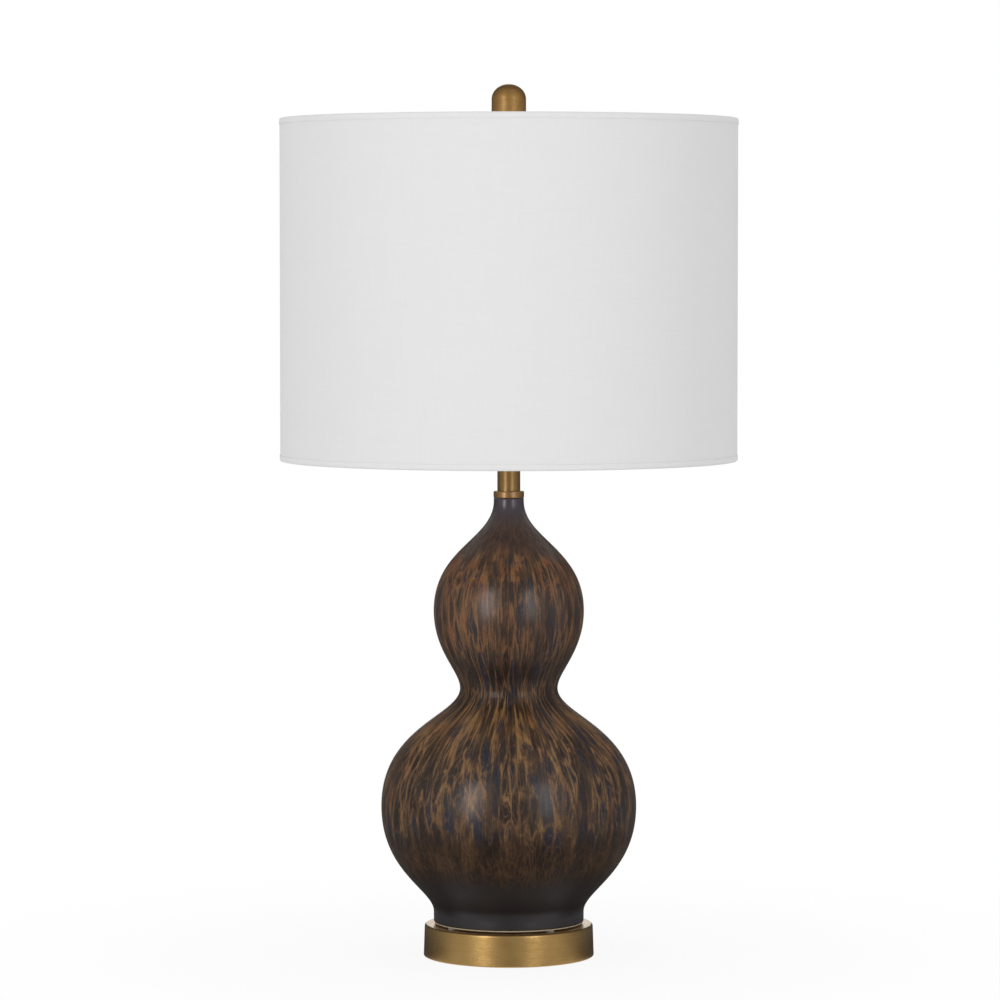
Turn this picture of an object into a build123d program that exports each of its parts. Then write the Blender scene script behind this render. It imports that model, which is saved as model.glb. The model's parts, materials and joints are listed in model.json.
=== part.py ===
"""Table lamp with a ceramic body of two gourd bulbs, a round brass base and a drum shade on a harp.

Millimetres. +Z is up along the lamp's axis, -Y is the front, and the felt stands on z = 0.
"""

import os
from math import cos, radians, sin, sqrt

from build123d import *

os.makedirs("parts", exist_ok=True)

# Clearances
thread_gap = 0.05  # radial, in a screwed joint that stays put
glue_gap = 0.1  # radial, between pieces that nest and stay put
running_fit = 0.08  # radial, between a shaft and the hole that it moves in
seat_gap = 0.1  # under a piece that rests on another and lifts off it
loose_fit = 0.3  # radial, where a piece drops freely into another
skin_gap = 0.25  # radial, between the wide thin skins of the shade

# Base
base_radius = 71.0  # at the foot of its wall
base_draft = 0.9  # how much less it is at the top
base_height = 27.2  # from the table to its top face
base_wall = 3.0
base_edge = 2.0  # rounding of the top edge
base_lip = 1.0  # rounding of the lower edge
cover_thickness = 2.0
cover_ledge = 1.2  # radial depth of the recess that holds the cover
felt_thickness = 2.0
felt_proud = 0.6  # how far the felt stands out below the shell
felt_inset = 0.8  # how much less the felt's radius is than the cover's

# Cord outlet, in the rear of the base
outlet_height = 13.0
outlet_bore = 3.3
outlet_neck = 5.4
outlet_flange = 7.5
outlet_flange_thickness = 1.6
outlet_lip = 6.6
outlet_lip_thickness = 1.4

# Pads between the base and the ceramic foot
pad_count = 4
pad_thickness = 1.2
pad_radius = 4.0
pad_inset = 5.5  # from the foot's outside to the middle of a pad
pad_start_angle = 36.0

# Ceramic body. Its outside stands upright at five levels, each given by its radius, its height above
# the body's underside and the radius of the bend there, which is hollow at the neck, waist and foot.
body_height = 354.7
neck_land = 2.7  # upright part above the neck's bend
upper_drop = 91.3  # from there down to the widest part of the upper bulb
waist_drop = 64.6  # from the widest part of the upper bulb down to the waist
neck_radius, neck_level, neck_bend = 12.5, body_height - neck_land, 30.0
upper_radius, upper_level, upper_bend = 62.5, neck_level - upper_drop, 80.6
waist_radius, waist_level, waist_bend = 40.6, upper_level - waist_drop, 13.0
belly_radius, belly_level, belly_bend = 106.2, 97.0, 103.3
foot_radius, foot_bend = 62.5, 12.0
body_wall = 6.5
neck_wall = 3.3
foot_ring_width = 11.0
foot_recess = 2.5
floor_thickness = 5.5
foot_rise = 0.9  # upright inner wall above the floor
foot_chamfer = 0.8

# Rod that clamps the base, body and neck together
rod_radius = 4.85
rod_bore = 3.2
rod_tail = 5.0  # below the nut
rod_hole = 5.3  # the plain holes that it passes
washer_radius = 16.0
washer_thickness = 1.6
lock_washer_radius = 8.0
lock_washer_thickness = 1.6
lock_washer_slit = 1.5
nut_width = 15.9  # across flats
nut_thickness = 4.8

# Neck
collar_radius = 12.7
collar_height = 5.4
collar_edge = 0.6
spigot_length = 8.0
boss_height = 2.5
tube_radius = 9.525
tube_wall = 1.0
tube_length = 41.2

# Harp and the saddle that carries it
saddle_thickness = 1.2
saddle_width = 9.0
saddle_disc_radius = 12.0
saddle_span = 57.0  # between the two legs of the harp
saddle_height = 18.0  # from its underside to the arms' shoulders
saddle_bend = 3.0
tab_height = 10.0
wire_radius = 2.0
ferrule_wall = 1.5
ferrule_length = 16.0
ferrule_travel = 14.0
leg_spare = 10.0  # straight leg left above a raised ferrule
harp_height = 254.0  # from the saddle's underside to the crown's top
harp_width = 114.0
flare_height = 34.0
widest_length = 48.0
shoulder_width = 46.0
shoulder_drop = 28.0
crown_length = 22.0
crown_width = 11.0

# Swivel in the harp's crown
stud_radius = 3.175
stud_height = 14.0  # above the flange
pivot_radius = 3.3
flange_radius = 7.0
flange_thickness = 1.6
rivet_radius = 5.0
rivet_thickness = 1.5

# Lampholder, heights above its seat on the saddle
cap_radius = 17.0
cap_wall = 0.6
cap_hub_radius = 8.0
cap_hub_height = 6.0
cap_shoulder_height = 14.0
cap_rim_height = 25.0
cap_rounding = 4.0
set_screw_radius = 1.5
set_screw_head = 2.4
set_screw_head_thickness = 1.6
holder_height = 62.0
holder_wall = 0.5
holder_start = 17.0
holder_lip = 1.2
liner_wall = 0.6
liner_start = 18.0
interior_start = 17.5
interior_height = 17.5
terminal_flat = 11.5  # from the axis to each side flat
terminal_height = 27.0
terminal_radius = 3.0
terminal_thickness = 2.0
terminal_shank = 1.6
terminal_shank_length = 5.0
screw_shell_wall = 0.4
screw_shell_inset = 2.0  # below the holder's rim
contact_hole = 6.0
contact_radius = 4.0
contact_thickness = 1.4
contact_dome = 0.8

# Turn switch, pointing to the front
switch_height = 30.0
shaft_radius = 2.0
shaft_inner_end = 4.0  # from the axis
shaft_window = 3.0
knob_radius = 5.5
knob_length = 12.0
knob_bore_depth = 9.0
knob_gap = 1.5  # from the holder to the knob
flute_count = 14
flute_radius = 0.7

# Bulb, heights above its contact
bulb_height = 109.0
bulb_radius = 30.0
bulb_wall = 0.8
bulb_neck_radius = 12.4
bulb_neck_level = 30.0
bulb_neck_bend = 25.0
bulb_cap_radius = 13.0
bulb_cap_wall = 0.4
bulb_cap_height = 22.0
bulb_contact_radius = 4.5
bulb_contact_thickness = 1.2
insulator_radius = 6.5
insulator_height = 4.0
glass_seat = 4.0  # length of the glass neck inside the cap
stem_radius = 4.0
stem_tip_radius = 3.0
stem_flare_height = 12.0
stem_height = 34.0
filament_radius = 0.35
filament_foot = 1.8
filament_half_span = 10.0
filament_rise = 18.0
filament_bend = 1.5

# Shade
shade_radius = 190.0
shade_height = 283.2
spider_drop = 10.7  # from the shade's top edge to the middle of the spider's washer
trim_thickness = 0.5
trim_fold = 1.0  # straight cut across its folded corners
trim_outer_width = 5.0
trim_inner_width = 7.0
skin_inset = 1.3  # from the shade's edge to the ends of both skins
fabric_thickness = 0.55
liner_thickness = 0.6
ring_wire_radius = 1.6
spider_arm_count = 3
spider_start_angle = 90.0
spider_arm_radius = 1.6
spider_washer_radius = 14.0
spider_washer_thickness = 1.8
spider_washer_clearance = 0.4
spider_rise_run = 16.0  # where the arms rise to the ring
spider_bend = 12.0

# Finial
finial_radius = 14.3
finial_height = 38.1
finial_dome = 12.5
finial_bore_depth = 17.0
finial_edge = 1.0

# Levels of the stack, from the table up
shell_bottom = felt_proud
cover_bottom = felt_thickness
cover_top = cover_bottom + cover_thickness
base_underside = base_height - base_wall
body_bottom = base_height + pad_thickness
neck_top = body_bottom + body_height
collar_top = neck_top + collar_height
tube_top = collar_top + tube_length
holder_seat = tube_top + saddle_thickness
saddle_shoulder = tube_top + saddle_height
tab_top = saddle_shoulder + tab_height
leg_bottom = saddle_shoulder + seat_gap
crown_top = tube_top + harp_height
crown_thickness = 2 * wire_radius
crown_bottom = crown_top - crown_thickness
flange_bottom = crown_top + seat_gap
flange_top = flange_bottom + flange_thickness
spider_washer_bottom = flange_top + seat_gap
spider_level = spider_washer_bottom + spider_washer_thickness / 2
spider_arm_level = spider_washer_bottom + spider_washer_thickness - spider_arm_radius
finial_bottom = spider_washer_bottom + spider_washer_thickness + seat_gap
finial_top = finial_bottom + finial_height
shade_top = spider_level + spider_drop
shade_bottom = shade_top - shade_height
interior_bottom = holder_seat + interior_start
interior_top = interior_bottom + interior_height
bulb_bottom = interior_top + contact_thickness + contact_dome + loose_fit

# Radii that follow
base_top_radius = base_radius - base_draft
base_bore = base_top_radius - base_wall
cover_radius = base_bore + cover_ledge
neck_bore = neck_radius - neck_wall
foot_ring_bore = foot_radius - foot_ring_width
foot_level = foot_recess + floor_thickness + foot_rise
leg_offset = saddle_span / 2
tab_face = leg_offset - wire_radius + saddle_thickness
holder_radius = cap_radius - cap_wall - glue_gap
holder_bore = holder_radius - holder_wall
liner_radius = holder_bore - glue_gap
liner_bore = liner_radius - liner_wall
interior_radius = liner_bore - glue_gap
screw_shell_bore = bulb_cap_radius + loose_fit
fabric_radius = shade_radius - trim_thickness - skin_gap
shade_liner_radius = fabric_radius - fabric_thickness - skin_gap
shade_bore = shade_liner_radius - liner_thickness
ring_radius = shade_bore - glue_gap - ring_wire_radius
ring_inset = trim_thickness + glue_gap + ring_wire_radius
trim_bore = ring_radius - ring_wire_radius - glue_gap - trim_thickness
trim_inner_fold = trim_fold - (2 - sqrt(2)) * trim_thickness


def upright_curve(stations):
    """Draw a line down through stations of (radius, height, bend radius), upright at each one."""
    for (radius, height, bend), (next_radius, next_height, next_bend) in zip(stations, stations[1:]):
        spread = abs(next_radius - radius)
        reach_down = sqrt(bend * spread * 2 / 3)
        reach_up = sqrt(next_bend * spread * 2 / 3)
        Bezier(
            (radius, height),
            (radius, height - reach_down),
            (next_radius, next_height + reach_up),
            (next_radius, next_height),
        )


def save(builder, name):
    """Label a finished piece and write it to its own file."""
    builder.part.label = name
    export_step(builder.part, f"parts/{name}.step")


# Base: a shell open below, the board that closes it and the felt that it stands on
with BuildPart() as base_shell:
    with BuildSketch(Plane.XZ):
        with BuildLine():
            FilletPolyline(
                (rod_hole, base_height),
                (base_top_radius, base_height),
                (base_radius, shell_bottom),
                (cover_radius, shell_bottom),
                (cover_radius, cover_top),
                (base_bore, cover_top),
                (base_bore, base_underside),
                (rod_hole, base_underside),
                radius=[0, base_edge, base_lip, 0, 0, 0, 0, 0],
                close=True,
            )
        make_face()
    revolve(axis=Axis.Z)
    with BuildSketch(Plane.XZ.offset(-base_radius)):
        with Locations((0, outlet_height)):
            Circle(outlet_neck + glue_gap)
    extrude(amount=base_radius - base_bore / 2, mode=Mode.SUBTRACT)
save(base_shell, "base_shell")

with BuildPart() as base_cover:
    with BuildSketch(Plane.XY.offset(cover_bottom)):
        Circle(cover_radius - glue_gap)
    extrude(amount=cover_thickness)
save(base_cover, "base_cover")

with BuildPart() as base_felt:
    with BuildSketch(Plane.XY):
        Circle(cover_radius - felt_inset)
    extrude(amount=felt_thickness)
save(base_felt, "base_felt")

# Cord outlet: a flanged bush that snaps into the rear wall of the base
outlet_lip_face = sqrt(base_bore**2 - outlet_lip**2) - glue_gap
with BuildPart() as cord_bushing:
    with BuildSketch(Plane.YZ):
        with BuildLine():
            Polyline(
                (outlet_lip_face - outlet_lip_thickness, outlet_height + outlet_bore),
                (base_radius + outlet_flange_thickness, outlet_height + outlet_bore),
                (base_radius + outlet_flange_thickness, outlet_height + outlet_flange),
                (base_radius, outlet_height + outlet_flange),
                (base_radius, outlet_height + outlet_neck),
                (outlet_lip_face, outlet_height + outlet_neck),
                (outlet_lip_face, outlet_height + outlet_lip),
                (outlet_lip_face - outlet_lip_thickness, outlet_height + outlet_neck),
                close=True,
            )
        make_face()
    revolve(axis=Axis((0, 0, outlet_height), (0, 1, 0)))
save(cord_bushing, "cord_bushing")

# Pads, a ring of them under the ceramic foot
with BuildPart() as foot_pads:
    with BuildSketch(Plane.XY.offset(base_height)):
        with PolarLocations(foot_radius - pad_inset, pad_count, start_angle=pad_start_angle):
            Circle(pad_radius)
    extrude(amount=pad_thickness)
save(foot_pads, "foot_pads")

# Ceramic body: the outside and the inside are the same five levels, a wall apart
with BuildPart() as gourd_body:
    with BuildSketch(Plane.XZ):
        with BuildLine():
            upright_curve(
                [
                    (neck_radius, body_bottom + neck_level, neck_bend),
                    (upper_radius, body_bottom + upper_level, upper_bend),
                    (waist_radius, body_bottom + waist_level, waist_bend),
                    (belly_radius, body_bottom + belly_level, belly_bend),
                    (foot_radius, body_bottom + foot_level, foot_bend),
                ]
            )
            Polyline(
                (foot_radius, body_bottom + foot_level),
                (foot_radius, body_bottom + foot_chamfer),
                (foot_radius - foot_chamfer, body_bottom),
                (foot_ring_bore, body_bottom),
                (foot_ring_bore, body_bottom + foot_recess),
                (rod_hole, body_bottom + foot_recess),
                (rod_hole, body_bottom + foot_recess + floor_thickness),
                (foot_radius - body_wall, body_bottom + foot_recess + floor_thickness),
                (foot_radius - body_wall, body_bottom + foot_level),
            )
            upright_curve(
                [
                    (neck_bore, body_bottom + neck_level, neck_bend + neck_wall),
                    (upper_radius - body_wall, body_bottom + upper_level, upper_bend - body_wall),
                    (waist_radius - body_wall, body_bottom + waist_level, waist_bend + body_wall),
                    (belly_radius - body_wall, body_bottom + belly_level, belly_bend - body_wall),
                    (foot_radius - body_wall, body_bottom + foot_level, foot_bend + body_wall),
                ]
            )
            Polyline(
                (neck_bore, body_bottom + neck_level),
                (neck_bore, neck_top),
                (neck_radius, neck_top),
                (neck_radius, body_bottom + neck_level),
            )
        make_face()
    revolve(axis=Axis.Z)
save(gourd_body, "gourd_body")

# Neck: a collar with a spigot in the ceramic neck, and the tube that stands on it
with BuildPart() as neck_cap:
    with BuildSketch(Plane.XZ):
        with BuildLine():
            FilletPolyline(
                (rod_hole, neck_top - spigot_length),
                (neck_bore - loose_fit, neck_top - spigot_length),
                (neck_bore - loose_fit, neck_top),
                (collar_radius, neck_top),
                (collar_radius, collar_top),
                (tube_radius - tube_wall - glue_gap, collar_top),
                (tube_radius - tube_wall - glue_gap, collar_top + boss_height),
                (rod_hole, collar_top + boss_height),
                radius=[0, 0, 0, collar_edge, collar_edge, 0, 0, 0],
                close=True,
            )
        make_face()
    revolve(axis=Axis.Z)
save(neck_cap, "neck_cap")

with BuildPart() as neck_tube:
    with BuildSketch(Plane.XY.offset(collar_top)):
        Circle(tube_radius)
        Circle(tube_radius - tube_wall, mode=Mode.SUBTRACT)
    extrude(amount=tube_length)
save(neck_tube, "neck_tube")

# Rod and its fastening under the top of the base
washer_bottom = base_underside - washer_thickness
lock_washer_bottom = washer_bottom - lock_washer_thickness
nut_bottom = lock_washer_bottom - nut_thickness
rod_bottom = nut_bottom - rod_tail
rod_top = holder_seat + cap_hub_height
with BuildPart() as threaded_rod:
    with BuildSketch(Plane.XY.offset(rod_bottom)):
        Circle(rod_radius)
        Circle(rod_bore, mode=Mode.SUBTRACT)
    extrude(amount=rod_top - rod_bottom)
save(threaded_rod, "threaded_rod")

with BuildPart() as rod_washer:
    with BuildSketch(Plane.XY.offset(washer_bottom)):
        Circle(washer_radius)
        Circle(rod_hole, mode=Mode.SUBTRACT)
    extrude(amount=washer_thickness)
save(rod_washer, "rod_washer")

with BuildPart() as rod_lock_washer:
    with BuildSketch(Plane.XY.offset(lock_washer_bottom)):
        Circle(lock_washer_radius)
        Circle(rod_hole, mode=Mode.SUBTRACT)
        with Locations((lock_washer_radius / 2, 0)):
            Rectangle(lock_washer_radius, lock_washer_slit, mode=Mode.SUBTRACT)
    extrude(amount=lock_washer_thickness)
save(rod_lock_washer, "rod_lock_washer")

with BuildPart() as rod_nut:
    with BuildSketch(Plane.XY.offset(nut_bottom)):
        RegularPolygon(nut_width / 2, 6, major_radius=False)
        Circle(rod_radius + thread_gap, mode=Mode.SUBTRACT)
    extrude(amount=nut_thickness)
save(rod_nut, "rod_nut")

# Saddle: a strip bent up at both ends, whose arms end in a round-backed tab inside each harp leg
with BuildPart() as harp_saddle:
    with BuildSketch(Plane.XZ):
        with BuildLine():
            FilletPolyline(
                (tab_face, saddle_shoulder),
                (tab_face, tube_top),
                (-tab_face, tube_top),
                (-tab_face, saddle_shoulder),
                (-tab_face + saddle_thickness, saddle_shoulder),
                (-tab_face + saddle_thickness, tube_top + saddle_thickness),
                (tab_face - saddle_thickness, tube_top + saddle_thickness),
                (tab_face - saddle_thickness, saddle_shoulder),
                radius=[0, saddle_bend, saddle_bend, 0, 0]
                + [saddle_bend - saddle_thickness, saddle_bend - saddle_thickness, 0],
                close=True,
            )
        make_face()
    extrude(amount=saddle_width / 2, both=True)
    with BuildSketch(Plane.XY.offset(tube_top)):
        Circle(saddle_disc_radius)
    extrude(amount=saddle_thickness)
    with BuildSketch(Plane.XY.offset(tube_top)):
        Circle(rod_hole)
    extrude(amount=saddle_thickness, mode=Mode.SUBTRACT)
    with BuildSketch(Plane.XY.offset(saddle_shoulder)):
        with Locations((leg_offset, 0), (-leg_offset, 0)):
            Circle(wire_radius)
        Rectangle(2 * tab_face, 4 * wire_radius, mode=Mode.INTERSECT)
    extrude(amount=tab_height)
save(harp_saddle, "harp_saddle")

# Lampholder cap: a spun cup on a solid hub that screws onto the rod
with BuildPart() as socket_cap:
    with BuildSketch(Plane.XZ):
        with BuildLine():
            FilletPolyline(
                (0, holder_seat),
                (cap_hub_radius, holder_seat),
                (cap_hub_radius, holder_seat + cap_hub_height),
                (cap_radius, holder_seat + cap_shoulder_height),
                (cap_radius, holder_seat + cap_rim_height),
                (0, holder_seat + cap_rim_height),
                radius=[0, 0, cap_rounding / 2, cap_rounding, 0, 0],
                close=True,
            )
        make_face()
    revolve(axis=Axis.Z)
    offset(amount=-cap_wall, openings=socket_cap.faces().sort_by(Axis.Z)[-1])
    with BuildSketch(Plane.XY.offset(holder_seat)):
        Circle(cap_hub_radius)
    extrude(amount=cap_hub_height - cap_wall)
    with BuildSketch(Plane.XY.offset(holder_seat)):
        Circle(rod_radius + thread_gap)
    extrude(amount=cap_rim_height, mode=Mode.SUBTRACT)
    with BuildSketch(Plane.XZ):
        with Locations((0, holder_seat + cap_hub_height / 2)):
            Circle(set_screw_radius + thread_gap)
    extrude(amount=-cap_radius, mode=Mode.SUBTRACT)
save(socket_cap, "socket_cap")

with BuildPart() as socket_set_screw:
    with BuildSketch(Plane.XZ.offset(-rod_radius - thread_gap)):
        with Locations((0, holder_seat + cap_hub_height / 2)):
            Circle(set_screw_radius)
    extrude(amount=-(cap_hub_radius - rod_radius))
    with BuildSketch(Plane.XZ.offset(-cap_hub_radius - thread_gap)):
        with Locations((0, holder_seat + cap_hub_height / 2)):
            Circle(set_screw_head)
            Rectangle(2 * set_screw_head, set_screw_radius / 2, mode=Mode.SUBTRACT)
    extrude(amount=-set_screw_head_thickness)
    with BuildSketch(Plane.XZ.offset(-cap_hub_radius - thread_gap)):
        with Locations((0, holder_seat + cap_hub_height / 2)):
            Circle(set_screw_head)
    extrude(amount=-set_screw_head_thickness / 2)
save(socket_set_screw, "socket_set_screw")

# Lampholder shell with its inturned rim, and the insulating liner inside it, both cut for the switch
switch_level = holder_seat + switch_height
with BuildPart() as socket_shell:
    with BuildSketch(Plane.XZ):
        with BuildLine():
            Polyline(
                (holder_radius, holder_seat + holder_start),
                (holder_radius, holder_seat + holder_height),
                (holder_bore - holder_lip, holder_seat + holder_height),
                (holder_bore - holder_lip, holder_seat + holder_height - holder_wall),
                (holder_bore, holder_seat + holder_height - holder_wall),
                (holder_bore, holder_seat + holder_start),
                close=True,
            )
        make_face()
    revolve(axis=Axis.Z)
    with BuildSketch(Plane.XZ):
        with Locations((0, switch_level)):
            Circle(shaft_window)
    extrude(amount=cap_radius, mode=Mode.SUBTRACT)
save(socket_shell, "socket_shell")

with BuildPart() as socket_liner:
    with BuildSketch(Plane.XY.offset(holder_seat + liner_start)):
        Circle(liner_radius)
        Circle(liner_bore, mode=Mode.SUBTRACT)
    extrude(amount=holder_height - holder_wall - glue_gap - liner_start)
    with BuildSketch(Plane.XZ):
        with Locations((0, switch_level)):
            Circle(shaft_window)
    extrude(amount=cap_radius, mode=Mode.SUBTRACT)
save(socket_liner, "socket_liner")

# Lampholder interior: the moulded block, the screw shell on it, the centre contact and the terminals
terminal_level = holder_seat + terminal_height
with BuildPart() as socket_interior:
    with BuildSketch(Plane.XY.offset(interior_bottom)):
        Circle(interior_radius)
        Rectangle(2 * terminal_flat, 2 * interior_radius, mode=Mode.INTERSECT)
    extrude(amount=interior_height)
    with BuildSketch(Plane.XZ.offset(shaft_inner_end - glue_gap)):
        with Locations((0, switch_level)):
            Circle(shaft_radius + running_fit)
    extrude(amount=cap_radius, mode=Mode.SUBTRACT)
    for side_plane in (Plane.YZ.offset(terminal_flat), Plane.YZ.offset(-terminal_flat)):
        with BuildSketch(side_plane):
            with Locations((0, terminal_level)):
                Circle(terminal_shank + thread_gap)
        extrude(amount=terminal_shank_length, both=True, mode=Mode.SUBTRACT)
save(socket_interior, "socket_interior")

with BuildPart() as screw_shell:
    with BuildSketch(Plane.XZ):
        with BuildLine():
            Polyline(
                (contact_hole, interior_top),
                (screw_shell_bore + screw_shell_wall, interior_top),
                (screw_shell_bore + screw_shell_wall, holder_seat + holder_height - screw_shell_inset),
                (screw_shell_bore, holder_seat + holder_height - screw_shell_inset),
                (screw_shell_bore, interior_top + screw_shell_wall),
                (contact_hole, interior_top + screw_shell_wall),
                close=True,
            )
        make_face()
    revolve(axis=Axis.Z)
save(screw_shell, "screw_shell")

with BuildPart() as centre_contact:
    with BuildSketch(Plane.XZ):
        with BuildLine():
            Polyline(
                (0, interior_top + contact_thickness + contact_dome),
                (0, interior_top),
                (contact_radius, interior_top),
                (contact_radius, interior_top + contact_thickness),
            )
            SagittaArc(
                (contact_radius, interior_top + contact_thickness),
                (-contact_radius, interior_top + contact_thickness),
                -contact_dome,
            )
            Line(
                (-contact_radius, interior_top + contact_thickness),
                (-contact_radius, interior_top),
            )
        make_face()
    revolve(axis=Axis.Z)
save(centre_contact, "centre_contact")

with BuildPart() as terminal_screws:
    for side in (1, -1):
        with BuildSketch(Plane.YZ.offset(side * terminal_flat)):
            with Locations((0, terminal_level)):
                Circle(terminal_radius)
        extrude(amount=side * terminal_thickness)
        with BuildSketch(Plane.YZ.offset(side * terminal_flat)):
            with Locations((0, terminal_level)):
                Circle(terminal_shank)
        extrude(amount=-side * (terminal_shank_length - glue_gap))
save(terminal_screws, "terminal_screws")

# Switch: a shaft from the interior out through the shell, and a fluted knob on its end
knob_start = holder_radius + knob_gap
with BuildPart() as switch_shaft:
    with BuildSketch(Plane.XZ.offset(shaft_inner_end)):
        with Locations((0, switch_level)):
            Circle(shaft_radius)
    extrude(amount=knob_start + knob_bore_depth - thread_gap - shaft_inner_end)
save(switch_shaft, "switch_shaft")

with BuildPart() as switch_knob:
    with BuildSketch(Plane.XZ.offset(knob_start)):
        with Locations((0, switch_level)):
            Circle(knob_radius)
            with PolarLocations(knob_radius, flute_count):
                Circle(flute_radius, mode=Mode.SUBTRACT)
    extrude(amount=knob_length)
    with BuildSketch(Plane.XZ.offset(knob_start)):
        with Locations((0, switch_level)):
            Circle(shaft_radius + thread_gap)
    extrude(amount=knob_bore_depth, mode=Mode.SUBTRACT)
save(switch_knob, "switch_knob")

# Bulb: glass, stem and filament, and the screw cap with its insulator and contact
bulb_cap_bottom = bulb_bottom + bulb_contact_thickness + insulator_height
bulb_cap_top = bulb_cap_bottom + bulb_cap_height
glass_bottom = bulb_cap_top - glass_seat
widest_level = bulb_bottom + bulb_height - bulb_radius
with BuildPart() as bulb_glass:
    with BuildSketch(Plane.XZ):
        with BuildLine():
            CenterArc((0, widest_level), bulb_radius, 0, 90)
            upright_curve(
                [
                    (bulb_radius, widest_level, bulb_radius),
                    (bulb_neck_radius, bulb_bottom + bulb_neck_level, bulb_neck_bend),
                ]
            )
            Polyline(
                (bulb_neck_radius, bulb_bottom + bulb_neck_level),
                (bulb_neck_radius, glass_bottom),
                (bulb_neck_radius - bulb_wall, glass_bottom),
                (bulb_neck_radius - bulb_wall, bulb_bottom + bulb_neck_level),
            )
            upright_curve(
                [
                    (bulb_radius - bulb_wall, widest_level, bulb_radius - bulb_wall),
                    (
                        bulb_neck_radius - bulb_wall,
                        bulb_bottom + bulb_neck_level,
                        bulb_neck_bend + bulb_wall,
                    ),
                ]
            )
            CenterArc((0, widest_level), bulb_radius - bulb_wall, 0, 90)
            Line((0, widest_level + bulb_radius - bulb_wall), (0, widest_level + bulb_radius))
        make_face()
    revolve(axis=Axis.Z)
save(bulb_glass, "bulb_glass")

stem_bottom = glass_bottom + glue_gap
stem_top = stem_bottom + stem_height
with BuildPart() as bulb_stem:
    with BuildSketch(Plane.XZ):
        with BuildLine():
            Polyline(
                (0, stem_bottom),
                (bulb_neck_radius - bulb_wall - glue_gap, stem_bottom),
                (stem_radius, stem_bottom + stem_flare_height),
                (stem_tip_radius, stem_top),
                (0, stem_top),
                close=True,
            )
        make_face()
    revolve(axis=Axis.Z)
save(bulb_stem, "bulb_stem")

with BuildPart() as bulb_filament:
    with BuildLine(Plane.XZ) as filament_line:
        FilletPolyline(
            (-filament_foot, stem_top),
            (-filament_foot, stem_top + filament_rise / 4),
            (-filament_half_span, stem_top + filament_rise),
            (filament_half_span, stem_top + filament_rise),
            (filament_foot, stem_top + filament_rise / 4),
            (filament_foot, stem_top),
            radius=filament_bend,
        )
    with BuildSketch(Plane(origin=filament_line.line @ 0, z_dir=filament_line.line % 0)):
        Circle(filament_radius)
    sweep(path=filament_line.line)
save(bulb_filament, "bulb_filament")

with BuildPart() as bulb_cap:
    with BuildSketch(Plane.XY.offset(bulb_cap_bottom)):
        Circle(bulb_cap_radius)
        Circle(bulb_cap_radius - bulb_cap_wall, mode=Mode.SUBTRACT)
    extrude(amount=bulb_cap_height)
save(bulb_cap, "bulb_cap")

with BuildPart() as bulb_insulator:
    with BuildSketch(Plane.XZ):
        with BuildLine():
            Polyline(
                (0, bulb_bottom + bulb_contact_thickness),
                (insulator_radius, bulb_bottom + bulb_contact_thickness),
                (bulb_cap_radius, bulb_cap_bottom),
                (0, bulb_cap_bottom),
                close=True,
            )
        make_face()
    revolve(axis=Axis.Z)
save(bulb_insulator, "bulb_insulator")

with BuildPart() as bulb_contact:
    with BuildSketch(Plane.XY.offset(bulb_bottom)):
        Circle(bulb_contact_radius)
    extrude(amount=bulb_contact_thickness)
    fillet(bulb_contact.edges().group_by(Axis.Z)[0], radius=bulb_contact_thickness / 2)
save(bulb_contact, "bulb_contact")

# Harp: one bent wire with a flat crown, whose legs are cut flat where the saddle's tabs lie in them
leg_top = leg_bottom + ferrule_length + ferrule_travel + leg_spare
crown_level = crown_top - wire_radius
right_half = [
    (shoulder_width / 2, crown_level),
    (shoulder_width / 2 + shoulder_drop / 2, crown_level - shoulder_drop),
    (harp_width / 2, leg_top + flare_height + widest_length),
    (harp_width / 2, leg_top + flare_height),
    (leg_offset, leg_top),
    (leg_offset, leg_bottom),
]
left_half = [(-x, z) for x, z in reversed(right_half)]
corner_radii = [20, 30, 120, 40, 16]
with BuildPart() as harp_wire:
    with BuildLine(Plane.XZ) as harp_line:
        FilletPolyline(*left_half, *right_half, radius=corner_radii + corner_radii[::-1])
    with BuildSketch(Plane(origin=harp_line.line @ 0, z_dir=harp_line.line % 0)):
        Circle(wire_radius)
    sweep(path=harp_line.line)
    with BuildSketch(Plane.XY.offset(crown_bottom)):
        SlotOverall(crown_length, crown_width)
    extrude(amount=crown_thickness)
    with BuildSketch(Plane.XY.offset(crown_bottom)):
        Circle(pivot_radius + running_fit)
    extrude(amount=crown_thickness, mode=Mode.SUBTRACT)
    with BuildSketch(Plane.XY.offset(leg_bottom)):
        Rectangle(2 * (tab_face + seat_gap), 4 * wire_radius)
    extrude(amount=tab_top + seat_gap - leg_bottom, mode=Mode.SUBTRACT)
save(harp_wire, "harp_wire")

# Ferrules: a sleeve on each leg that locks it to its tab
for name, side in (("ferrule_left", -1), ("ferrule_right", 1)):
    with BuildPart() as ferrule:
        with BuildSketch(Plane.XY.offset(leg_bottom)):
            with Locations((side * leg_offset, 0)):
                Circle(wire_radius + running_fit + ferrule_wall)
                Circle(wire_radius + running_fit, mode=Mode.SUBTRACT)
        extrude(amount=ferrule_length)
    save(ferrule, name)

# Swivel: a flange and stud above the crown, riveted over below it
with BuildPart() as harp_swivel:
    with BuildSketch(Plane.XZ):
        with BuildLine():
            Polyline(
                (0, crown_bottom - seat_gap - rivet_thickness),
                (rivet_radius, crown_bottom - seat_gap - rivet_thickness),
                (rivet_radius, crown_bottom - seat_gap),
                (pivot_radius, crown_bottom - seat_gap),
                (pivot_radius, flange_bottom),
                (flange_radius, flange_bottom),
                (flange_radius, flange_top),
                (stud_radius, flange_top),
                (stud_radius, flange_top + stud_height),
                (0, flange_top + stud_height),
                close=True,
            )
        make_face()
    revolve(axis=Axis.Z)
save(harp_swivel, "harp_swivel")

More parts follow.
